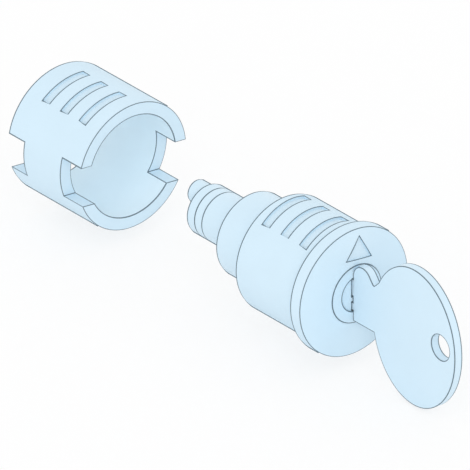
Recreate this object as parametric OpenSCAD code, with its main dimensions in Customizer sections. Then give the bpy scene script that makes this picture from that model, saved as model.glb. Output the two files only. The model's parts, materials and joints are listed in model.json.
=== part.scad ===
// Cylinder lock for a panel hole, with its key in and its rear sleeve drawn off along the axis.
// The lock's axis is Y. The panel seat, the rear face of the flange, lies in the plane Y = 0.
// The key goes in from the front, -Y. Z is up. Angles round the axis run from +Z towards +X.

/* [Housing] */
// Diameter of the barrel that passes through the panel
barrel_d = 22; // [21:0.1:23]
// Length of the barrel behind the panel seat
barrel_len = 16.4; // [15.8:0.1:17.5]
// Diameter of the flange
flange_d = 24.5; // [24:0.1:30]
// Thickness of the flange at its rim
flange_t = 2.6; // [2.2:0.1:4]
// Rise of the domed face from the rim to its middle
dome_h = 1; // [0.6:0.1:2]
// Width of the index triangle on the face
index_w = 5.5; // [3:0.1:6]
// Height of the index triangle
index_h = 4.1; // [3:0.1:4.6]
// Distance of the triangle's foot from the axis
index_foot = 6.6; // [6.2:0.1:7]
// Angle of the triangle round the axis
index_angle = 6; // [-45:1:45]
// Depth of the index triangle
index_depth = 0.3; // [0.1:0.05:0.5]
// Depth of the grip slots on the barrel
grip_depth = 0.4; // [0.2:0.05:0.8]
// Width of a grip slot along the axis
grip_w = 1.85; // [1:0.05:2.5]
// Distance between the middles of two grip slots
grip_pitch = 5.07; // [4:0.01:5.2]
// Distance of the first barrel slot's middle behind the panel seat
grip_first = 3.8; // [3:0.05:4.3]
// Angle where a barrel slot starts
grip_from = -37.6; // [-60:0.1:-20]
// Angle where a barrel slot ends
grip_to = 20.4; // [0:0.1:40]
// Slant of the barrel slots, like turns of a thread
grip_slant = 6; // [0:0.5:7]

/* [Stator] */
// Diameter of the stator, seen as the neck behind the barrel
stator_d = 16; // [15.4:0.1:17]
// Length of the stator
stator_len = 26; // [25.4:0.1:28]
// Depth of the stator's front face below the flange rim
stator_sink = 2; // [1.6:0.1:2.4]
// Width of a locking groove in the stator's bore
groove_w = 5.5; // [5.3:0.1:6]
// Diameter of the pin that holds the stator in the housing
anchor_d = 2; // [1.5:0.1:2.5]
// Distance of that pin behind the panel seat
anchor_y = 10; // [6:0.1:12]
// Diameter of the pin that stops and keeps the rotor
stop_d = 1.5; // [1.2:0.1:1.7]

/* [Rotor] */
// Diameter of the rotor, seen as the round head in the face
rotor_d = 11.2; // [11:0.05:11.4]
// Height of the rotor's face above the dome's edge round it
head_proud = 0.1; // [0:0.05:0.5]
// Diameter of the dish round the keyway
dish_d = 6.7; // [6.6:0.1:9]
// Depth of the dish
dish_depth = 0.2; // [0.1:0.05:0.8]
// Diameter of the journal that runs in the stator's rear wall
journal_d = 10.2; // [9.8:0.1:10.6]
// Diameter of the rear shaft
shaft_d = 9.4; // [9:0.1:9.7]
// Length of the shaft behind the stator
shaft_len = 12.1; // [9:0.1:16]
// Angle that the rotor turns through
turn_angle = 90; // [60:5:120]
// Depth of the stop track in the rotor
track_depth = 0.9; // [0.6:0.1:1]
// Metal in front of and behind the stop track
track_wall = 1.4; // [1:0.1:1.6]

/* [Shaft end] */
// Width of the snap ring
ring_w = 1.9; // [1:0.1:2.5]
// Distance of the snap ring from the shaft's end
ring_back = 2.1; // [2.05:0.05:4]
// Thickness of the snap ring
ring_t = 0.65; // [0.4:0.05:0.7]
// Opening of the snap ring, as an angle
ring_gap_angle = 40; // [20:5:90]
// Diameter of the crank pin
crank_d = 4.24; // [3.6:0.02:4.4]
// Length of the crank pin behind the shaft
crank_len = 2.95; // [2:0.05:5]
// Distance of the crank pin from the axis
crank_throw = 2.4; // [1.6:0.05:2.45]
// Diameter of the crank pin's shank in the shaft
crank_shank_d = 2.8; // [2:0.1:3]
// Length of the crank pin's shank
crank_shank_len = 1.9; // [1:0.1:1.9]

/* [Wafers] */
// Thickness of a wafer
wafer_t = 1.2; // [1:0.05:1.3]
// Width of a wafer
wafer_w = 5; // [4.6:0.1:5]
// Distance between the middles of two wafers
wafer_pitch = 2.6; // [2.5:0.05:2.7]
// Distance of the first wafer's middle behind the panel seat
wafer_first = 2.2; // [1.8:0.1:2.6]
// Drop of a wafer when the key is out
wafer_drop = 0.8; // [0.5:0.05:0.9]
// Height of the ear that carries the spring
ear_h = 0.9; // [0.6:0.05:1]
// Height of the ear's upper face, from the axis
ear_top = -0.4; // [-0.8:0.05:0]

/* [Springs] */
// Outside diameter of a spring
spring_d = 1.4; // [1.1:0.05:1.5]
// Diameter of the spring's wire
wire_d = 0.3; // [0.2:0.02:0.34]
// Length of a spring with the key in
spring_len = 3; // [2.6:0.05:3.1]
// Number of turns
spring_turns = 3.5; // [3:0.5:3.5]

/* [Key] */
// Thickness of the key
key_t = 1.7; // [1.5:0.05:2.1]
// Height of the blade
blade_h = 6.2; // [5.8:0.1:6.4]
// Length of the blade's tip behind the last cut
tip_len = 2.2; // [1.8:0.1:2.4]
// Height of one step of the cuts
cut_step = 0.45; // [0.3:0.05:0.5]
// Depth of the grooves along the blade's sides
flute_depth = 0.45; // [0.3:0.05:0.5]
// Width of those grooves
flute_w = 1.2; // [1:0.05:1.4]
// Height of the shoulder's lower edge below the axis
stem_low = 5.1; // [4:0.1:5.4]
// Radius of the rounded hump on the stem
hump_r = 2.4; // [2:0.1:2.8]
// Height of the hump's middle above the axis
hump_z = 3.9; // [3:0.1:4.2]
// Length of the bow along the key
bow_len = 22.2; // [20:0.1:26]
// Height of the bow across the key
bow_h = 26.7; // [22:0.1:30]
// Distance of the bow's middle in front of the shoulder
bow_out = 16.4; // [15:0.1:18]
// Distance of the bow's middle below the axis
bow_sag = 1.6; // [0:0.1:2.4]
// Diameter of the key-ring hole
ring_hole_d = 4.9; // [3:0.1:6]
// Distance of the key-ring hole from the bow's front edge
ring_hole_in = 3.9; // [3.5:0.1:6]
// Distance of the key-ring hole below the axis
ring_hole_sag = 0.6; // [0:0.1:2]

/* [Sleeve] */
// Outside diameter of the sleeve
sleeve_d = 24.4; // [23:0.1:26]
// Bore of the sleeve
sleeve_bore = 19.6; // [18:0.1:20.6]
// Length of the sleeve
sleeve_len = 19.95; // [18:0.05:24]
// Distance of the drawn-off sleeve from the barrel's shoulder
sleeve_off = 41.85; // [26:0.05:50]
// Width of the front notches
front_notch_w = 7.6; // [4:0.1:8]
// Depth of the front notches
front_notch_depth = 5.3; // [3:0.1:5.5]
// Height of the front notches' middle
front_notch_z = -1.5; // [-3:0.1:1]
// Width of the rear notch
rear_notch_w = 6.7; // [4:0.05:8]
// Depth of the rear notch
rear_notch_depth = 4.35; // [3:0.05:5]
// Height of the rear notch's middle
rear_notch_z = -2; // [-3:0.1:1]
// Turn of the notches round the axis
notch_turn = 5; // [0:0.5:10]
// Distance of the sleeve's first slot's middle behind its front end
sleeve_grip_first = 4.55; // [4:0.05:5]
// Angle where a sleeve slot starts
sleeve_grip_from = -39.5; // [-60:0.1:-20]
// Angle where a sleeve slot ends
sleeve_grip_to = 7; // [0:0.1:60]

/* [Clearances] */
// Running clearance, on the radius or on each side
run_gap = 0.05; // [0.03:0.01:0.08]
// Gap under the wafers' windows and round the blade
key_gap = 0.12; // [0.1:0.01:0.15]

/* [Hidden] */
$fn = 96;
eps = 0.01;
grip_count = 3;
// Depth of the cut under each wafer, in steps, from the shoulder to the tip.
CODES = [1, 1, 2, 3, 3, 4];
pin_recess = 0.1;
anchor_bite = 1.4;
anchor_angle = 135;
stop_angle = 180;

barrel_r = barrel_d / 2;
flange_r = flange_d / 2;
stator_r = stator_d / 2;
rotor_r = rotor_d / 2;
journal_r = journal_d / 2;
shaft_r = shaft_d / 2;
bore_r = rotor_r + run_gap;

// The face is part of a sphere whose rim lies on the flange's front edge.
dome_r = (flange_r * flange_r + dome_h * dome_h) / (2 * dome_h);
dome_centre_y = dome_r - flange_t - dome_h;
function dome_y(r) = dome_centre_y - sqrt(dome_r * dome_r - r * r);

// Places along the axis, from front to back.
tip_room = 0.55;
head_y = dome_y(bore_r) - head_proud;
stator_y = stator_sink - flange_t;
stator_end = stator_y + stator_len;
function wafer_y(i) = wafer_first + i * wafer_pitch;
last_wafer = len(CODES) - 1;
tip_y = wafer_y(last_wafer) + tip_len;
keyway_end = tip_y + tip_room;
stop_y = keyway_end + track_wall + stop_d / 2;
shoulder_y = stop_y + stop_d / 2 + track_wall;
shaft_end = stator_end + shaft_len;
ring_y = shaft_end - ring_back - ring_w;
sleeve_y = barrel_len + sleeve_off;

// Wafers, springs and the space for them.
slot_w = wafer_w + 2 * run_gap;
slot_t = wafer_t + 2 * run_gap;
wafer_r = rotor_r - 2 * run_gap;
window_w = key_t + 4 * run_gap + 2 * key_gap;
groove_r = wafer_r + wafer_drop + 3 * run_gap;
spring_x = wafer_w / 2 + spring_d / 2 + 3 * run_gap;
pocket_r = spring_d / 2 + 2 * run_gap;
ear_x = spring_x + spring_d / 2;
pocket_top = ear_top + spring_len + run_gap;
function side(i) = i % 2 == 0 ? 1 : -1;

// Steps in one turn of a spring, and round its wire.
rings_per_turn = 12;
wire_sides = 6;

// The key, in its own plane: u runs from the shoulder towards the user, then the height above the axis.
shoulder_gap = run_gap;
blade_top = blade_h / 2;
keyway_w = key_t + 2 * key_gap;
keyway_h = blade_h + 2 * key_gap;
flute_z = 0.9;
flat_spare = 0.25;
flat_half = wafer_t / 2 + flat_spare;
tip_top = -0.6;
tip_low = -1.4;
tip_ramp = 1.7;
hump_end_angle = 42;
thumb_gap = 0.7;
thumb_r = 0.4;
hump_steps = 14;
thumb_steps = 6;
bow_steps = 110;
notch_u = 2 * hump_r + thumb_gap;
notch_run = 1.4;
function cut_z(i) = blade_top - CODES[i] * cut_step;
function key_u(y) = head_y - shoulder_gap - y;

// The bow is an ellipse. These are its angles where the notch and the stem's lower edge meet it.
bow_notch_angle = acos((notch_u + notch_run - bow_out) / (bow_len / 2));
bow_stem_angle = -180 - asin((bow_sag - stem_low) / (bow_h / 2));

// Points on an ellipse from one angle to another, its middle at u, z.
function oval_points(u, z, length, height, from, to, steps) =
    [for (k = [0:steps]) let (a = from + (to - from) * k / steps)
        [u + length / 2 * cos(a), z + height / 2 * sin(a)]];

// Turns a shape that stands along Z so that it lies along the lock's axis.
module along_axis(y = 0) {
    translate([0, y, 0])
        rotate([-90, 0, 0])
            children();
}

// A rod along the axis from y to y + length.
module rod(r, y, length) {
    along_axis(y)
        cylinder(r = r, h = length);
}

// A rod across the axis, from radius r0 out to r1, at angle a round the axis.
module spoke(r, y, r0, r1, a) {
    translate([0, y, 0])
        rotate([0, a, 0])
            translate([0, 0, r0])
                cylinder(r = r, h = r1 - r0);
}

// Part of a ring round the axis, between two radii and two angles.
module ring_arc(r0, r1, y, width, from, to) {
    along_axis(y)
        rotate([0, 0, from - 90])
            rotate_extrude(angle = to - from)
                translate([r0, 0])
                    square([r1 - r0, width]);
}

// The row of shallow grip slots on the top of a cylinder. Their ends run along the axis at any slant.
module grip_slots(r, y, from, to, slant = 0) {
    middle = (from + to) / 2;
    spare = 10;
    for (i = [0:grip_count - 1])
        translate([0, y + i * grip_pitch, 0])
            intersection() {
                rotate(a = slant, v = [sin(middle), 0, cos(middle)])
                    ring_arc(r - grip_depth, r + 2, -grip_w / 2, grip_w, from - spare, to + spare);
                ring_arc(r / 2, r + 1, -grip_pitch / 2, grip_pitch, from, to);
            }
}

// A flat shape drawn across the axis, X to the right and Z up, with its middle at y.
module across(y, thickness) {
    translate([0, y, 0])
        rotate([90, 0, 0])
            linear_extrude(thickness, center = true)
                children();
}

// A flat shape drawn in the key's plane, centred on X = 0.
module key_plate(thickness) {
    rotate([90, 0, -90])
        linear_extrude(thickness, center = true)
            children();
}

// The index triangle's recess. Its floor follows the dome.
module index_triangle() {
    face = 2 * (flange_t + dome_h);
    rotate([0, index_angle, 0])
        difference() {
            across(-face / 2, face)
                polygon([[-index_w / 2, index_foot], [index_w / 2, index_foot], [0, index_foot + index_h]]);
            translate([0, dome_centre_y, 0])
                sphere(r = dome_r - index_depth);
        }
}

// The round body with its domed flange. Its surfaces' seam passes through the anchor pin's hole.
module turned_body() {
    rotate([0, anchor_angle - 90, 0])
        union() {
            rod(barrel_r, 0, barrel_len);
            intersection() {
                rod(flange_r, -flange_t - dome_h, flange_t + dome_h);
                translate([0, dome_centre_y, 0])
                    sphere(r = dome_r);
            }
        }
}

module housing() {
    color("lightblue")
        difference() {
            turned_body();
            rod(bore_r, -flange_t - 2 * dome_h, flange_t + 2 * dome_h + stator_y + eps);
            rod(stator_r, stator_y, barrel_len - stator_y + 1);
            spoke(anchor_d / 2, anchor_y, 0, barrel_r + 1, anchor_angle);
            grip_slots(barrel_r, grip_first, grip_from, grip_to, grip_slant);
            index_triangle();
        }
}

module stator() {
    groove_len = keyway_end - stator_y;
    color("lightsteelblue")
        difference() {
            rod(stator_r, stator_y, stator_len);
            rod(bore_r, stator_y - 1, shoulder_y + run_gap - stator_y + 1);
            rod(journal_r + run_gap, stator_y, stator_len + 1);
            for (turn = [0, 90])
                rotate([0, turn, 0])
                    translate([-groove_w / 2, stator_y - 1, -groove_r])
                        cube([groove_w, groove_len + 1, 2 * groove_r]);
            spoke(anchor_d / 2, anchor_y, stator_r - anchor_bite, stator_r + 1, anchor_angle);
            spoke(stop_d / 2, stop_y, 0, stator_r + 1, stop_angle);
        }
}

module anchor_pin() {
    color("silver")
        spoke(anchor_d / 2, anchor_y, stator_r - anchor_bite, barrel_r - pin_recess, anchor_angle);
}

module stop_pin() {
    color("silver")
        spoke(stop_d / 2, stop_y, rotor_r - track_depth + 2 * run_gap, stator_r - pin_recess, stop_angle);
}

// Two ridges of the keyway that fill the flutes of the blade.
module ward(z, s) {
    ridge = flute_depth - run_gap + key_gap / 2;
    across(keyway_end / 2 + head_y / 2, keyway_end - head_y + 2)
        translate([s > 0 ? keyway_w / 2 - ridge : -keyway_w / 2 - 1, z - flute_w / 2 + run_gap])
            square([ridge + 1, flute_w - 2 * run_gap]);
}

module rotor() {
    track_half = asin((stop_d / 2 + run_gap) / (rotor_r - track_depth));
    color("lightsteelblue")
        difference() {
            union() {
                rod(rotor_r, head_y, shoulder_y - head_y);
                rod(journal_r, head_y + 1, stator_end - pin_recess - head_y - 1);
                rod(shaft_r, head_y + 1, shaft_end - head_y - 1);
            }
            rod(dish_d / 2, head_y - 1, 1 + dish_depth);
            difference() {
                translate([-keyway_w / 2, head_y - 1, -keyway_h / 2])
                    cube([keyway_w, keyway_end - head_y + 1, keyway_h]);
                ward(flute_z, 1);
                ward(-flute_z, -1);
            }
            for (i = [0:last_wafer]) {
                wafer_slot(i);
                spring_pocket(i);
            }
            ring_arc(rotor_r - track_depth, rotor_r + 1, stop_y - stop_d / 2 - run_gap,
                stop_d + 2 * run_gap, stop_angle - turn_angle - track_half, stop_angle + track_half);
            ring_arc(shaft_r - ring_t - run_gap, shaft_r + 1, ring_y, ring_w, 0, 360);
            along_axis(shaft_end - crank_shank_len)
                translate([0, -crank_throw, 0])
                    cylinder(d = crank_shank_d, h = crank_shank_len + 1);
        }
}

// The slot that a wafer slides in, open above and below.
module wafer_slot(i) {
    translate([-slot_w / 2, wafer_y(i) - slot_t / 2, -rotor_r - 1])
        cube([slot_w, slot_t, 2 * rotor_r + 2]);
}

// The spring's bore and, under it, the slot for the wafer's ear.
module spring_pocket(i) {
    translate([side(i) * spring_x, wafer_y(i), ear_top - run_gap])
        cylinder(r = pocket_r, h = pocket_top - ear_top + run_gap);
    ear_room = ear_x + 2 * run_gap;
    translate([side(i) > 0 ? 0 : -ear_room, wafer_y(i) - slot_t / 2, -rotor_r - 1])
        cube([ear_room, slot_t, rotor_r + 1 + ear_top + run_gap]);
}

module snap_ring() {
    color("lightsteelblue")
        ring_arc(shaft_r - ring_t, shaft_r, ring_y + run_gap, ring_w - 2 * run_gap,
            180 + ring_gap_angle / 2, 540 - ring_gap_angle / 2);
}

module crank_pin() {
    color("lightsteelblue")
        along_axis(shaft_end)
            translate([0, -crank_throw, 0])
                union() {
                    cylinder(d = crank_d, h = crank_len);
                    translate([0, 0, -crank_shank_len])
                        cylinder(d = crank_shank_d, h = crank_shank_len + eps);
                }
}

// A wafer: a plate with rounded ends, a window for the blade and an ear for its spring.
module wafer(i) {
    window_low = -blade_top - 2 * key_gap;
    window_top = cut_z(i) + key_gap;
    color("gold")
        across(wafer_y(i), wafer_t)
            difference() {
                union() {
                    intersection() {
                        circle(r = wafer_r);
                        translate([-wafer_w / 2, -rotor_r])
                            square([wafer_w, 2 * rotor_r]);
                    }
                    translate([side(i) > 0 ? 0 : -ear_x, ear_top - ear_h])
                        square([ear_x, ear_h]);
                }
                translate([-window_w / 2, window_low])
                    square([window_w, window_top - window_low]);
            }
}

// One spring: a round wire carried up a helix, with its ends cut flat.
module spring(i) {
    rings = rings_per_turn * spring_turns;
    sides = wire_sides;
    mean_r = (spring_d - wire_d) / 2;
    rise = spring_len - wire_d - 2 * run_gap;
    lead = atan(rise / (360 * spring_turns) / mean_r * 180 / PI);
    base_z = ear_top + run_gap + wire_d / 2;
    points = [for (k = [0:rings]) let (
            a = 360 * spring_turns * k / rings,
            centre = [side(i) * spring_x, wafer_y(i), base_z + rise * k / rings],
            out = [cos(a), sin(a), 0],
            up = [sin(a) * sin(lead), -cos(a) * sin(lead), cos(lead)])
        for (s = [0:sides - 1])
            centre + mean_r * out + wire_d / 2 * (cos(360 * s / sides) * out + sin(360 * s / sides) * up)];
    walls = [for (k = [0:rings - 1], s = [0:sides - 1], half = [0, 1]) let (
            a = k * sides + s,
            b = k * sides + (s + 1) % sides)
        half == 0 ? [a, b, b + sides] : [a, b + sides, a + sides]];
    echo(str("least gap between the turns of spring ", i + 1, ": ", rise / spring_turns - wire_d));
    color("gray")
        polyhedron(points, concat(walls, [[for (s = [sides - 1:-1:0]) s]],
            [[for (s = [0:sides - 1]) rings * sides + s]]));
}

// The upper edge of the blade from the tip: a flat under each wafer, with ramps between.
function bitting() = [for (i = [last_wafer:-1:0], e = [1, -1])
    [key_u(wafer_y(i) + e * flat_half), cut_z(i)]];

// The key's outline: shoulder, plain edge, tip, cuts, hump, thumb notch and bow, in one loop.
module key_outline() {
    polygon(concat(
        [[0, -stem_low], [0, -blade_top], [key_u(tip_y - tip_ramp), -blade_top]],
        [[key_u(tip_y), tip_low], [key_u(tip_y), tip_top]],
        bitting(),
        [[key_u(wafer_y(0) - flat_half - cut_step), blade_top], [0, blade_top]],
        oval_points(hump_r, hump_z, 2 * hump_r, 2 * hump_r, 180, hump_end_angle, hump_steps),
        oval_points(notch_u, hump_z + 1.5 * thumb_r, 2 * thumb_r, 2 * thumb_r, 220, 315, thumb_steps),
        oval_points(bow_out, -bow_sag, bow_len, bow_h, bow_notch_angle, bow_stem_angle, bow_steps)));
}

module key() {
    blade_run = tip_y - head_y;
    color("lightblue")
        difference() {
            translate([0, head_y - shoulder_gap, 0])
                key_plate(key_t)
                    key_outline();
            translate([0, key_bow_y(), -ring_hole_sag])
                rotate([0, 90, 0])
                    cylinder(d = ring_hole_d, h = key_t + 2, center = true);
            for (s = [-1, 1])
                translate([s > 0 ? key_t / 2 - flute_depth : -key_t / 2 - 1, head_y, s * flute_z])
                    translate([0, 0, -flute_w / 2])
                        cube([flute_depth + 1, blade_run + 1, flute_w]);
        }
}

// The place of the key-ring hole along the axis.
function key_bow_y() = head_y - shoulder_gap - bow_out - bow_len / 2 + ring_hole_in;

// A notch through the sleeve's left wall, or through both of its walls.
module notch(y, depth, width, z, both = true) {
    rotate([0, notch_turn, 0])
        translate([-sleeve_d, y, z - width / 2])
            cube([both ? 2 * sleeve_d : sleeve_d, depth, width]);
}

module sleeve() {
    color("lightblue")
        difference() {
            rod(sleeve_d / 2, sleeve_y, sleeve_len);
            rod(sleeve_bore / 2, sleeve_y - 1, sleeve_len + 2);
            notch(sleeve_y - 1, front_notch_depth + 1, front_notch_w, front_notch_z);
            notch(sleeve_y + sleeve_len - rear_notch_depth, rear_notch_depth + 1,
                rear_notch_w, rear_notch_z, both = false);
            grip_slots(sleeve_d / 2, sleeve_y + sleeve_grip_first, sleeve_grip_from, sleeve_grip_to);
        }
}

housing();
stator();
anchor_pin();
stop_pin();
rotor();
snap_ring();
crank_pin();
wafer(0);  // wafer_1
wafer(1);  // wafer_2
wafer(2);  // wafer_3
wafer(3);  // wafer_4
wafer(4);  // wafer_5
wafer(5);  // wafer_6
spring(0);  // spring_1
spring(1);  // spring_2
spring(2);  // spring_3
spring(3);  // spring_4
spring(4);  // spring_5
spring(5);  // spring_6
key();
sleeve();
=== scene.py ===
import json
import math

import bmesh
import bpy
import numpy as np
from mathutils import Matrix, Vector


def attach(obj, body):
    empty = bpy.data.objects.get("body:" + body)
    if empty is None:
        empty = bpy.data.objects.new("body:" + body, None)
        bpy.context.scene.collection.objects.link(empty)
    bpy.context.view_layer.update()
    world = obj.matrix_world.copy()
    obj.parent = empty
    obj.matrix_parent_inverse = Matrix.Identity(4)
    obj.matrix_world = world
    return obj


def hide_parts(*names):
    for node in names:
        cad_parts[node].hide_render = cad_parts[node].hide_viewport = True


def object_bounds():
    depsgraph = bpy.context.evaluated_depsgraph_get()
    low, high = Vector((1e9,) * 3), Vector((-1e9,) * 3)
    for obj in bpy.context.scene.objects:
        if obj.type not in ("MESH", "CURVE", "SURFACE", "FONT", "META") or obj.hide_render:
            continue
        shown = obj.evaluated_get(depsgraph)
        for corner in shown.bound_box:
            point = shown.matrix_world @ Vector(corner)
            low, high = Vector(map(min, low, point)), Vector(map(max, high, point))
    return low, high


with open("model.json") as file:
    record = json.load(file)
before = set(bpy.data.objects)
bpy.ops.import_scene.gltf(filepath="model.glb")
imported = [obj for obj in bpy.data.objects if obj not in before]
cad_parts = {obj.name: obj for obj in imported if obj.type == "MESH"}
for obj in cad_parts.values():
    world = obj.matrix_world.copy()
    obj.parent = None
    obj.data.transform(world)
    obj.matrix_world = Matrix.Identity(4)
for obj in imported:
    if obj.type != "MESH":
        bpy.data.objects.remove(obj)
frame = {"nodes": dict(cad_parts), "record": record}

cadBox = [list(corner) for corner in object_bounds()]
mm = 0.001
print("frame loaded,", len(frame["nodes"]), "pieces")

# The look follows a pale technical drawing: one light blue on every piece, and a slate line
# along each edge.
palette = {
    "paleBlue": "#D5ECFA",
    # The next blue is painted light: it is lighter, for the sleeve's bore, to cancel the shade
    # that the bore lies in.
    "paintedLightBlue": "#E4F5FE",
    "slate": "#6F818C",
    "brass": "#CDB16A",
    "steel": "#BFC6CC",
    "floor": "#FFFFFF",
}


# sRGB to linear light: c / 12.92 up to 0.04045, above it ((c + 0.055) / 1.055) to the power 2.4.
def linear(hexColour, gain):
    parts = [int(hexColour[i:i + 2], 16) / 255 for i in (1, 3, 5)]
    light = [c / 12.92 if c <= 0.04045 else ((c + 0.055) / 1.055) ** 2.4 for c in parts]
    return [gain * c for c in light] + [1.0]


# Adds a node, sets its properties and input values, and feeds inputs from other nodes' outputs.
def addNode(tree, kind, props=None, values=None, feeds=None):
    node = tree.nodes.new(kind)
    for name, value in (props or {}).items():
        setattr(node, name, value)
    for name, value in (values or {}).items():
        node.inputs[name].default_value = value
    for name, (source, output) in (feeds or {}).items():
        tree.links.new(source.outputs[output], node.inputs[name])
    return node


# Settings that the noises of every finish share. Most of a noise lies between the two levels of
# its span.
noiseLook = {"span": (0.3, 0.7), "grainRoughness": 0.55, "mottleDetail": 2.0}


# A finish made of two noises over the object's own millimetres. The grain, drawn out along
# `stretch`, moves the relief and the roughness, and the mottle moves the colour between two gains
# of one hex colour. The IOR is that of plastics and lacquers, and for metals Blender's default.
def makeMaterial(name, look):
    material = bpy.data.materials.new(name)
    material.use_nodes = True
    tree = material.node_tree
    tree.nodes.clear()
    least, most = noiseLook["span"]
    where = addNode(tree, "ShaderNodeTexCoord")
    along = addNode(tree, "ShaderNodeMapping",
                    values={"Scale": [s / (mm * look["grain"]) for s in look["stretch"]]},
                    feeds={"Vector": (where, "Object")})
    grain = addNode(tree, "ShaderNodeTexNoise",
                    values={"Scale": 1.0, "Detail": look["detail"],
                            "Roughness": noiseLook["grainRoughness"]},
                    feeds={"Vector": (along, "Vector")})
    mottle = addNode(tree, "ShaderNodeTexNoise",
                     values={"Scale": 1 / (mm * look["mottle"]),
                             "Detail": noiseLook["mottleDetail"]},
                     feeds={"Vector": (where, "Object")})
    drift = addNode(tree, "ShaderNodeMapRange", values={"From Min": least, "From Max": most},
                    feeds={"Value": (mottle, "Fac")})
    low, high = look["drift"]
    colour = addNode(tree, "ShaderNodeMix", {"data_type": "RGBA"},
                     {6: linear(look["colour"], low), 7: linear(look["colour"], high)},
                     {0: (drift, "Result")})
    low, high = look["roughness"]
    gloss = addNode(tree, "ShaderNodeMapRange",
                    values={"From Min": least, "From Max": most, "To Min": low, "To Max": high},
                    feeds={"Value": (grain, "Fac")})
    relief = addNode(tree, "ShaderNodeBump",
                     values={"Strength": look["strength"], "Distance": look["relief"] * mm},
                     feeds={"Height": (grain, "Fac")})
    shader = addNode(tree, "ShaderNodeBsdfPrincipled",
                     values={"IOR": 1.5, "Specular IOR Level": look["specular"],
                             "Metallic": look["metallic"]},
                     feeds={"Base Color": (colour, 2), "Roughness": (gloss, "Result"),
                            "Normal": (relief, "Normal")})
    addNode(tree, "ShaderNodeOutputMaterial", feeds={"Surface": (shader, "BSDF")})
    return material


# Moulded polyamide from a spark-eroded mould: matt, with an even pebbled grain and no flow marks.
# The real grain is about 0.1 mm. It is drawn at 0.35 mm, so that it still shows in a close view.
mouldedPolyamide = {"colour": palette["paleBlue"], "grain": 0.35, "stretch": (1, 1, 1),
                    "detail": 3.0, "mottle": 5.0, "drift": (0.985, 1.005),
                    "roughness": (0.5, 0.58), "strength": 0.35, "relief": 0.012,
                    "specular": 0.35, "metallic": 0.0}
# Painted light: the same plastic in a lighter blue on the bore of the sleeve. It is painted
# lighter to cancel the shade that the bore lies in, so that the bore shows the one even blue of
# the rest.
paintedLightMoulding = dict(mouldedPolyamide, colour=palette["paintedLightBlue"])
# Stove enamel on die-cast zinc: satin, a little smoother than the plastic, with a faint orange
# peel 0.9 mm across.
enamelledZinc = {"colour": palette["paleBlue"], "grain": 0.9, "stretch": (1, 1, 1),
                 "detail": 1.0, "mottle": 7.0, "drift": (0.98, 1.0),
                 "roughness": (0.34, 0.42), "strength": 0.3, "relief": 0.02,
                 "specular": 0.4, "metallic": 0.0}
# Lacquered steel, stamped and brushed along the key: the lacquer is smooth, and fine scratches
# 0.12 mm apart and some 8 mm long show through it.
lacqueredSteel = {"colour": palette["paleBlue"], "grain": 0.12, "stretch": (1, 0.015, 1),
                  "detail": 2.0, "mottle": 9.0, "drift": (0.985, 1.005),
                  "roughness": (0.3, 0.4), "strength": 0.25, "relief": 0.006,
                  "specular": 0.4, "metallic": 0.0}
# The dark primer that shows where the coat is thin, along every edge: matt slate grey, a little
# uneven.
slatePrimer = {"colour": palette["slate"], "grain": 0.3, "stretch": (1, 1, 1),
               "detail": 1.0, "mottle": 0.8, "drift": (0.92, 1.06),
               "roughness": (0.55, 0.65), "strength": 0.1, "relief": 0.005,
               "specular": 0.2, "metallic": 0.0}
# Ground steel pins: bright, with short grinding marks round the pin.
groundSteel = {"colour": palette["steel"], "grain": 0.1, "stretch": (1, 1, 6),
               "detail": 3.0, "mottle": 2.0, "drift": (0.92, 1.03),
               "roughness": (0.28, 0.4), "strength": 0.3, "relief": 0.005,
               "specular": 0.5, "metallic": 1.0}
# Stamped brass wafers: warm, with the long fine lines of the rolled strip they are cut from.
stampedBrass = {"colour": palette["brass"], "grain": 0.15, "stretch": (1, 1, 0.1),
                "detail": 3.0, "mottle": 3.0, "drift": (0.9, 1.05),
                "roughness": (0.3, 0.42), "strength": 0.3, "relief": 0.005,
                "specular": 0.5, "metallic": 1.0}
# Drawn spring wire: bright and nearly smooth.
springWire = {"colour": palette["steel"], "grain": 0.08, "stretch": (1, 1, 1),
              "detail": 2.0, "mottle": 1.0, "drift": (0.95, 1.03),
              "roughness": (0.25, 0.35), "strength": 0.2, "relief": 0.004,
              "specular": 0.5, "metallic": 1.0}

polyamide = makeMaterial("mouldedPolyamide", mouldedPolyamide)
# The polyamide in a lighter blue: painted light for the shaded bore of the sleeve.
paintedLightPolyamide = makeMaterial("paintedLightPolyamide", paintedLightMoulding)
enamel = makeMaterial("enamelledZinc", enamelledZinc)
lacquer = makeMaterial("lacqueredSteel", lacqueredSteel)
primer = makeMaterial("slatePrimer", slatePrimer)
steel = makeMaterial("groundSteel", groundSteel)
brass = makeMaterial("stampedBrass", stampedBrass)
wire = makeMaterial("springWire", springWire)
print("materials made:", len(bpy.data.materials))

# How a shell is made from a CAD piece: points nearer than `merge` mm become one, faces that turn
# by less than `flat` degrees become one, and an edge turned by more than `corner` is a real one.
shellLook = {"merge": 0.0005, "flat": 0.1, "corner": 25}
# The order of a shell's materials: its coat, the primer, and a lighter blue of painted light for a
# shaded bore.
coatSlot, primerSlot, paintedLightSlot = 0, 1, 2


# A copy of a CAD piece with its loose triangles joined and its flat faces made whole. It is cut
# along planes first, so that a flat face with a hole in it becomes two faces without one.
def joinedCopy(node, name, cuts):
    mesh = bpy.data.meshes.new(name)
    shape = bmesh.new()
    shape.from_mesh(frame["nodes"][node].data)
    merge = shellLook["merge"] * mm
    bmesh.ops.remove_doubles(shape, verts=shape.verts, dist=merge)
    for point, normal in cuts:
        whole = shape.verts[:] + shape.edges[:] + shape.faces[:]
        cut = bmesh.ops.bisect_plane(shape, geom=whole, dist=merge,
                                     plane_co=[c * mm for c in point], plane_no=normal)
        for part in cut["geom_cut"]:
            if isinstance(part, bmesh.types.BMEdge):
                part.seam = True
    bmesh.ops.dissolve_limit(shape, angle_limit=math.radians(shellLook["flat"]),
                             verts=shape.verts, edges=shape.edges, delimit={"SEAM"})
    shape.to_mesh(mesh)
    shape.free()
    mesh.materials.clear()
    piece = bpy.data.objects.new(name, mesh)
    bpy.context.scene.collection.objects.link(piece)
    return piece


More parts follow.
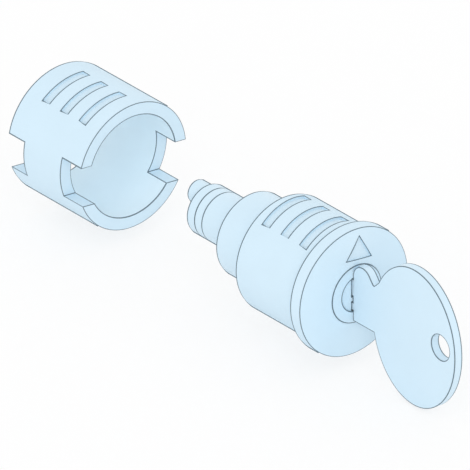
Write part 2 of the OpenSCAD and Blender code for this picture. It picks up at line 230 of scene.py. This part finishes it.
# Gives each real edge a flat band of primer on both of its sides. `shareOf` says how much of the
# full width `line` an edge gets, from the edge's ends and its two normals.
def bandEdges(piece, line, shareOf):
    shape = bmesh.new()
    shape.from_mesh(piece.data)
    weights = shape.edges.layers.float.new("bevel_weight_edge")
    least, count = math.radians(shellLook["corner"]), 0
    for edge in shape.edges:
        if len(edge.link_faces) != 2 or edge.calc_face_angle(0.0) < least:
            continue
        normals = [face.normal for face in edge.link_faces]
        edge[weights] = shareOf([corner.co / mm for corner in edge.verts], normals)
        count += edge[weights] > 0
    shape.to_mesh(piece.data)
    shape.free()
    band = piece.modifiers.new("band", "BEVEL")
    band.limit_method = "WEIGHT"
    band.width = line * mm
    band.segments = 2
    band.profile = 1.0
    band.material = primerSlot
    band.use_clamp_overlap = False
    band.loop_slide = False
    banded = piece.evaluated_get(bpy.context.evaluated_depsgraph_get())
    finished = bpy.data.meshes.new_from_object(banded)
    piece.modifiers.clear()
    piece.data = finished
    return count


# Smooth shading with a break at every real corner.
def smoothFaces(piece):
    piece.data.polygons.foreach_set("use_smooth", np.ones(len(piece.data.polygons), bool))
    piece.data.set_sharp_from_angle(angle=math.radians(shellLook["corner"]))


# Paints light into a bore: gives the coated faces whose middles lie between two radii the lighter
# blue that cancels the shade the bore lies in.
def paintLightInBore(piece, low, high):
    count = len(piece.data.polygons)
    middles, kinds = np.empty(count * 3, np.float32), np.empty(count, np.int32)
    piece.data.polygons.foreach_get("center", middles)
    piece.data.polygons.foreach_get("material_index", kinds)
    middles = middles.reshape(-1, 3)
    reach = np.hypot(middles[:, 0], middles[:, 2]) / mm
    kinds[(kinds == coatSlot) & (reach > low) & (reach < high)] = paintedLightSlot
    piece.data.polygons.foreach_set("material_index", kinds)


# Mould and die seams: two fine ridges along a round piece, opposite each other, in the parting
# plane of its mould. At a rear rim each ridge turns and runs on along the rim for `run` degrees.
seamLook = {"angle": 49.6, "width": 0.2, "height": 0.15, "foot": 0.04, "inset": 0.02, "steps": 8,
            "run": 20, "runSteps": 10, "dip": 0.2}


# Across a ridge, at a turn t from 0 to pi, the surface lies width / 2 * cos t sideways and
# height * sin t above the round, with a foot let into it.
def ridgeProfile():
    turn = np.linspace(0, math.pi, seamLook["steps"] + 1)
    across = np.concatenate(([0.5], 0.5 * np.cos(turn), [-0.5])) * seamLook["width"]
    foot = [-seamLook["foot"]]
    return across, np.concatenate((foot, seamLook["height"] * np.sin(turn), foot))


# The profile carried straight along the axis: at angle a a point lies (radius + up) out along a
# and across sideways, the same at both ends.
def straightRidge(seam, a):
    across, up = ridgeProfile()
    out = seam["radius"] + up
    ends = np.array([[seam["from"] + seamLook["inset"]], [seam["to"] - seamLook["inset"]]])
    x = out * math.cos(a) - across * math.sin(a)
    z = out * math.sin(a) + across * math.cos(a) + seam.get("rise", 0)
    return np.stack(np.broadcast_arrays(x, ends, z), 2)


# The profile carried round the rear rim from angle a, one way or the other: a share s of the run
# on, the height is 1 - (1 + dip) * s of the full one, so the ridge ends under the round.
def rimRidge(seam, a, way):
    across, up = ridgeProfile()
    share = np.linspace(0, 1, seamLook["runSteps"] + 1)[:, None]
    turned = a + way * math.radians(seamLook["run"]) * share
    out = seam["radius"] + np.where(up > 0, up * (1 - (1 + seamLook["dip"]) * share), up)
    y = across - seamLook["width"] / 2 + seam["to"] - seamLook["inset"]
    z = out * np.sin(turned) + seam.get("rise", 0)
    return np.stack(np.broadcast_arrays(out * np.cos(turned), y, z), 2)


# Joins ridges into one mesh. Each is an array of rings of points, with walls between neighbouring
# rings and a cap on the first and the last.
def ridgeMesh(ridges):
    points, faces, base = [], [], 0
    for rings in ridges:
        last, count = len(rings) - 1, rings.shape[1]
        around = np.arange(count)
        following = (around + 1) % count
        start = base + count * np.arange(last)[:, None]
        corners = (start + around, start + following, start + count + following,
                   start + count + around)
        faces += np.stack(corners, 2).reshape(-1, 4).tolist()
        faces += [(base + around).tolist(), (base + last * count + around).tolist()]
        points.append(rings.reshape(-1, 3))
        base += len(points[-1])
    mesh = bpy.data.meshes.new("seams")
    mesh.from_pydata((np.concatenate(points) * mm).tolist(), [], faces)
    mesh.polygons.foreach_set("material_index", np.full(len(faces), primerSlot, np.int32))
    return mesh


def addSeams(piece, seams):
    ridges = []
    for seam in seams:
        for angle, way in ((seamLook["angle"], 1), (seamLook["angle"] + 180, -1)):
            ridges.append(straightRidge(seam, math.radians(angle)))
            if seam.get("rim"):
                ridges.append(rimRidge(seam, math.radians(angle), way))
    shape = bmesh.new()
    shape.from_mesh(ridgeMesh(ridges))
    bmesh.ops.recalc_face_normals(shape, faces=shape.faces)
    shape.from_mesh(piece.data)
    shape.to_mesh(piece.data)
    shape.free()


# Dresses a CAD piece: its joined copy, with bands along the edges, in its own coat and the primer.
# Unless its settings say otherwise, the copy is cut along the plane x = 0.
def dress(node, settings, coat, shareOf):
    body = next(b for b, nodes in frame["record"]["behaviour"]["bodies"].items() if node in nodes)
    piece = joinedCopy(node, node + "Shell", settings.get("cuts", [((0, 0, 0), (1, 0, 0))]))
    piece.data.materials.append(coat)
    piece.data.materials.append(primer)
    count = bandEdges(piece, settings["line"], shareOf)
    # Painted light: the faces of a bore get a lighter blue against the shade they lie in.
    if "inside" in settings:
        piece.data.materials.append(paintedLightPolyamide)
        paintLightInBore(piece, *settings["inside"])
    if "seams" in settings:
        addSeams(piece, settings["seams"])
    smoothFaces(piece)
    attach(piece, body)
    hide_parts(node)
    print(node, "dressed:", count, "edges drawn,", len(piece.data.polygons), "faces")


# How far a point lies from the lock's axis.
def radius(point):
    return math.hypot(point.x, point.z)


# The drawing's view, and the way from the object to the eye.
viewLook = {"azimuth": -39.6, "elevation": 28.1}
viewTurn, viewRise = math.radians(viewLook["azimuth"]), math.radians(viewLook["elevation"])
viewBack = Vector((math.sin(viewTurn) * math.cos(viewRise),
                   -math.cos(viewTurn) * math.cos(viewRise), math.sin(viewRise)))

# Shares of the full line: none, for an edge whose two bands show, and for one that shows one band.
noLine, bothBands, oneBand = 0.0, 0.5, 1.0
# A direction counts as along an axis above the cosine `straight`, and a face as turned away from
# the eye, or seen edge on, below the cosine `edgeOn`.
straight, edgeOn = 0.9, 0.2


# Whether an edge shows only one of its two bands, because the other's face is turned away.
def halfHidden(normals):
    return min(n.dot(viewBack) for n in normals) < edgeOn


# In the drawing's view an edge of a face that looks back shows one band, and so does an edge
# along the axis with one face turned away. Others show both.
def lineShare(normals):
    alongAxis = abs(normals[0].cross(normals[1]).normalized().y) > straight
    single = alongAxis and halfHidden(normals) or max(n.y for n in normals) > straight
    return oneBand if single else bothBands


# Whether an edge in a grip slot takes no line: those of its floor, and those that rise from the
# floor at its right end, past the x of `slotRight` mm, where the drawing has none.
slotRight = -3


def bareInSlot(onFloor, ends):
    return all(onFloor) or any(onFloor) and ends[0].x > slotRight


# The housing: its outside edges and the rims of the slots and the triangle, but no floor of a cut,
# no bore and no pin hole. A side of the triangle takes the share of the bands that it shows.
# Lengths are radii, or places along the axis or up, in mm.
housingLook = {"slot": "housing_plastic", "line": 0.24,
               "slotFloor": (10.3, 10.9), "barrelFront": 0.5, "rotorBore": 5.8,
               "statorBore": 8.1, "front": -1, "back": 16.3, "pinHole": -6.5,
               "faceEdge": 11, "domeRadius": 75.53, "domeMiddle": (0, 71.93, 0), "rimDepth": 0.05,
               "cuts": [((0, 0, 0), (0, 0, 1))],
               "seams": [{"radius": 12.25, "from": -2.6, "to": 0, "rim": True},
                         {"radius": 11, "from": 0, "to": 16.4, "rim": True}]}


def housingShare(ends, normals):
    look = housingLook
    low, high = look["slotFloor"]
    middle = Vector(look["domeMiddle"])

    def inside(p):
        inPinHole = p.z < look["pinHole"] and p.y > look["barrelFront"]
        return look["front"] < p.y < look["back"] and (radius(p) < look["statorBore"] or inPinHole)

    onFloor = [low < radius(p) < high and p.y > look["barrelFront"] for p in ends]
    if bareInSlot(onFloor, ends):
        return noLine
    if all(radius(p) < look["rotorBore"] for p in ends) or all(inside(p) for p in ends):
        return noLine
    if all(p.y < look["front"] and radius(p) < look["faceEdge"] for p in ends):
        depth = max(look["domeRadius"] - (p - middle).length for p in ends)
        if depth > look["rimDepth"]:
            return noLine
        return oneBand if halfHidden(normals) else bothBands
    return lineShare(normals)


dress("housing", housingLook, polyamide, housingShare)

# The sleeve: every edge but the floors of its slots, which lie above `slotsAbove`. The bore's
# front rim shows one band on the left and two on the right, so it takes a share between.
# Its bore, between the radii under "inside", is painted a lighter blue to cancel the shade it lies
# in.
sleeveLook = {"slot": "sleeve_plastic", "line": 0.24, "frontRim": 0.7,
              "slotFloor": (11.5, 12.1), "slotsAbove": 5, "inside": (9.7, 9.85),
              "front": 58.3, "bore": 10,
              "seams": [{"radius": 12.2, "from": 58.25, "to": 78.2, "rim": True}]}


def sleeveShare(ends, normals):
    low, high = sleeveLook["slotFloor"]
    onFloor = [low < radius(p) < high and p.z > sleeveLook["slotsAbove"] for p in ends]
    if bareInSlot(onFloor, ends):
        return noLine
    if all(p.y < sleeveLook["front"] and radius(p) < sleeveLook["bore"] for p in ends):
        return sleeveLook["frontRim"]
    return lineShare(normals)


dress("sleeve", sleeveLook, polyamide, sleeveShare)

# The stator shows only behind the housing, so only its edges behind `from` are drawn.
statorLook = {"slot": "stator_metal", "line": 0.24, "from": 16.0,
              "seams": [{"radius": 8, "from": 16.4, "to": 25.4, "rim": True}]}


def statorShare(ends, normals):
    return lineShare(normals) if all(p.y > statorLook["from"] for p in ends) else noLine


dress("stator", statorLook, enamel, statorShare)

# The rotor: the rims of its head and of the dish in it, and its shaft with the ring groove. The
# head's rim has the dark gap beside it, so its line is narrower. Of the keyway's mouth only the
# sides take a line, as its ends lie too near the dish's rim.
rotorLook = {"slot": "rotor_metal", "line": 0.24, "headRim": 0.62, "dishRim": 0.82,
             "head": -3.4, "headRound": 4.5, "dish": 3.3, "dishFloor": -3.2,
             "mouth": 1, "mouthEnd": 3, "shaft": 25.35,
             "seams": [{"radius": 4.7, "from": 25.4, "to": 33.5},
                       {"radius": 4.7, "from": 35.4, "to": 37.5, "rim": True}]}


def rotorShare(ends, normals):
    look = rotorLook
    if all(p.y < look["head"] for p in ends):
        nearest = min(radius(p) for p in ends)
        if nearest > look["headRound"]:
            return look["headRim"]
        return look["dishRim"] if nearest > look["dish"] else noLine
    if all(p.y < look["dishFloor"] and abs(p.x) < look["mouth"] for p in ends):
        onSide = max(abs(n.x) for n in normals) > straight
        onSide = onSide or max(abs(p.z) for p in ends) < look["mouthEnd"]
        return look["dishRim"] if onSide and min(n.y for n in normals) < -straight else noLine
    return lineShare(normals) if all(p.y > look["shaft"] for p in ends) else noLine


dress("rotor", rotorLook, enamel, rotorShare)

# The crank pin: both of its ends, and the seams of a round that lies `rise` above the axis.
crankLook = {"slot": "rotor_metal", "line": 0.24,
             "seams": [{"radius": 2.12, "from": 37.5, "to": 40.45, "rise": 2.4, "rim": True}]}
dress("crank_pin", crankLook, enamel, lambda ends, normals: lineShare(normals))

# The snap ring lies flush in the shaft, so one line, along its rear edge, parts the two.
ringLook = {"slot": "rotor_metal", "line": 0.24,
            "seams": [{"radius": 4.7, "from": 33.55, "to": 35.35}]}


def ringShare(ends, normals):
    return bothBands if max(n.y for n in normals) > straight else noLine


dress("snap_ring", ringLook, enamel, ringShare)

# The key: the outline of both faces, the cuts, the grooves and the ring hole. A change of width
# along a smooth outline would make a spike, so each face has one width. Only a long level edge of
# the near face, as below the stem, lies between sharp corners and shows one band, so it takes the
# full line. The copy is cut through the ring hole.
ringHole = next(m["pos_m"] for m in frame["record"]["mounts"] if m["name"] == "key_ring_hole")
keyLook = {"slot": "key_metal", "line": 0.2, "nearShare": 0.75, "farShare": 1.0, "longEdge": 2,
           "cuts": [([c / mm for c in ringHole], (0, 1, 0))]}


def keyShare(ends, normals):
    if max(abs(n.x) for n in normals) < straight:
        return noLine
    if ends[0].x > 0:
        return keyLook["farShare"]
    longEdge = (ends[1] - ends[0]).length > keyLook["longEdge"]
    below = min(n.z for n in normals) < -straight
    return oneBand if longEdge and below else keyLook["nearShare"]


dress("key", keyLook, lacquer, keyShare)


# The pieces inside keep their CAD meshes.
def finish(node, material):
    thing = frame["nodes"][node]
    if not thing.material_slots:
        thing.data.materials.append(material)
    for held in thing.material_slots:
        held.material = material


waferCount = 6
for i in range(waferCount):
    finish(f"wafer_{i + 1}", brass)
    finish(f"spring_{i + 1}", wire)
for pin in ("anchor_pin", "stop_pin"):
    finish(pin, steel)
print("inner pieces finished")

# A wide sheet of matt white paper just under the lowest point. Seen by the camera it is a part lit
# and the rest plain white, so it stays as white as the sheet behind a drawing and still holds a
# soft shadow.
floorLook = {"half": 1.5, "below": 0.3, "plain": 0.75, "fibre": 3.0, "drift": (0.985, 1.0)}


def makeFloor():
    half, level = floorLook["half"], cadBox[0][2] - floorLook["below"] * mm
    mesh = bpy.data.meshes.new("floor")
    mesh.from_pydata([(-half, -half, level), (half, -half, level), (half, half, level),
                      (-half, half, level)], [], [(0, 1, 2, 3)])
    floor = bpy.data.objects.new("floor", mesh)
    bpy.context.scene.collection.objects.link(floor)
    material = bpy.data.materials.new("matPaper")
    material.use_nodes = True
    tree = material.node_tree
    tree.nodes.clear()
    where = addNode(tree, "ShaderNodeTexCoord")
    fibre = addNode(tree, "ShaderNodeTexNoise", values={"Scale": 1 / (mm * floorLook["fibre"])},
                    feeds={"Vector": (where, "Object")})
    low, high = floorLook["drift"]
    tone = addNode(tree, "ShaderNodeMix", {"data_type": "RGBA"},
                   {6: linear(palette["floor"], low), 7: linear(palette["floor"], high)},
                   {0: (fibre, "Fac")})
    paper = addNode(tree, "ShaderNodeBsdfDiffuse", feeds={"Color": (tone, 2)})
    plain = addNode(tree, "ShaderNodeEmission", values={"Color": (1, 1, 1, 1), "Strength": 1.0})
    rays = addNode(tree, "ShaderNodeLightPath")
    seen = addNode(tree, "ShaderNodeMath", {"operation": "MULTIPLY"}, {1: floorLook["plain"]},
                   {0: (rays, "Is Camera Ray")})
    sheet = addNode(tree, "ShaderNodeMixShader",
                    feeds={0: (seen, "Value"), 1: (paper, "BSDF"), 2: (plain, "Emission")})
    addNode(tree, "ShaderNodeOutputMaterial", feeds={"Surface": (sheet, "Shader")})
    mesh.materials.append(material)


# Even light from all round, white where the camera, a reflection or a ray through glass looks past
# the floor.
worldLook = {"ambient": 0.84, "seen": 1.0}


def makeWorld():
    world = bpy.data.worlds.new("studio")
    bpy.context.scene.world = world
    world.use_nodes = True
    tree = world.node_tree
    tree.nodes.clear()
    rays = addNode(tree, "ShaderNodeLightPath")
    direct = addNode(tree, "ShaderNodeMath", {"operation": "MAXIMUM"},
                     feeds={0: (rays, "Is Camera Ray"), 1: (rays, "Is Glossy Ray")})
    white = addNode(tree, "ShaderNodeMath", {"operation": "MAXIMUM"},
                    feeds={0: (direct, "Value"), 1: (rays, "Is Transmission Ray")})
    level = addNode(tree, "ShaderNodeMapRange",
                    values={"To Min": worldLook["ambient"], "To Max": worldLook["seen"]},
                    feeds={"Value": (white, "Value")})
    back = addNode(tree, "ShaderNodeBackground", values={"Color": (1, 1, 1, 1)},
                   feeds={"Strength": (level, "Result")})
    addNode(tree, "ShaderNodeOutputWorld", feeds={"Surface": (back, "Background")})


# Soft lamps: a lamp of strength pi gives a white face square to it a level of 1.
lamps = {
    "front": {"from": (-0.55, -0.6, 0.6), "level": 0.21, "angle": 50},
    "rear": {"from": (0.5, 0.75, 0.45), "level": 0.06, "angle": 60},
}


def makeLamps():
    for name, look in lamps.items():
        data = bpy.data.lights.new(name, "SUN")
        data.energy = look["level"] * math.pi
        data.angle = math.radians(look["angle"])
        lamp = bpy.data.objects.new(name, data)
        lamp.rotation_mode = "QUATERNION"
        lamp.rotation_quaternion = Vector(look["from"]).to_track_quat("Z", "Y")
        bpy.context.scene.collection.objects.link(lamp)


# A long lens from far away, as near to the drawing's parallel view as a lens comes. It sees from
# half its distance to twice that.
cameraLook = {"target": (0, 29.9, -2.15), "width": 82.6, "lens": 1600, "sensor": 36,
              "clip": (0.5, 2)}


def makeCamera():
    distance = cameraLook["width"] * mm * cameraLook["lens"] / cameraLook["sensor"]
    near, far = cameraLook["clip"]
    data = bpy.data.cameras.new("camera")
    data.lens, data.sensor_width = cameraLook["lens"], cameraLook["sensor"]
    data.clip_start, data.clip_end = distance * near, distance * far
    camera = bpy.data.objects.new("camera", data)
    camera.location = Vector(cameraLook["target"]) * mm + viewBack * distance
    camera.rotation_mode = "QUATERNION"
    camera.rotation_quaternion = viewBack.to_track_quat("Z", "Y")
    bpy.context.scene.collection.objects.link(camera)
    bpy.context.scene.camera = camera


makeFloor()
makeWorld()
makeLamps()
makeCamera()
bpy.context.scene.view_settings.view_transform = "Standard"
print("floor, light and camera set")
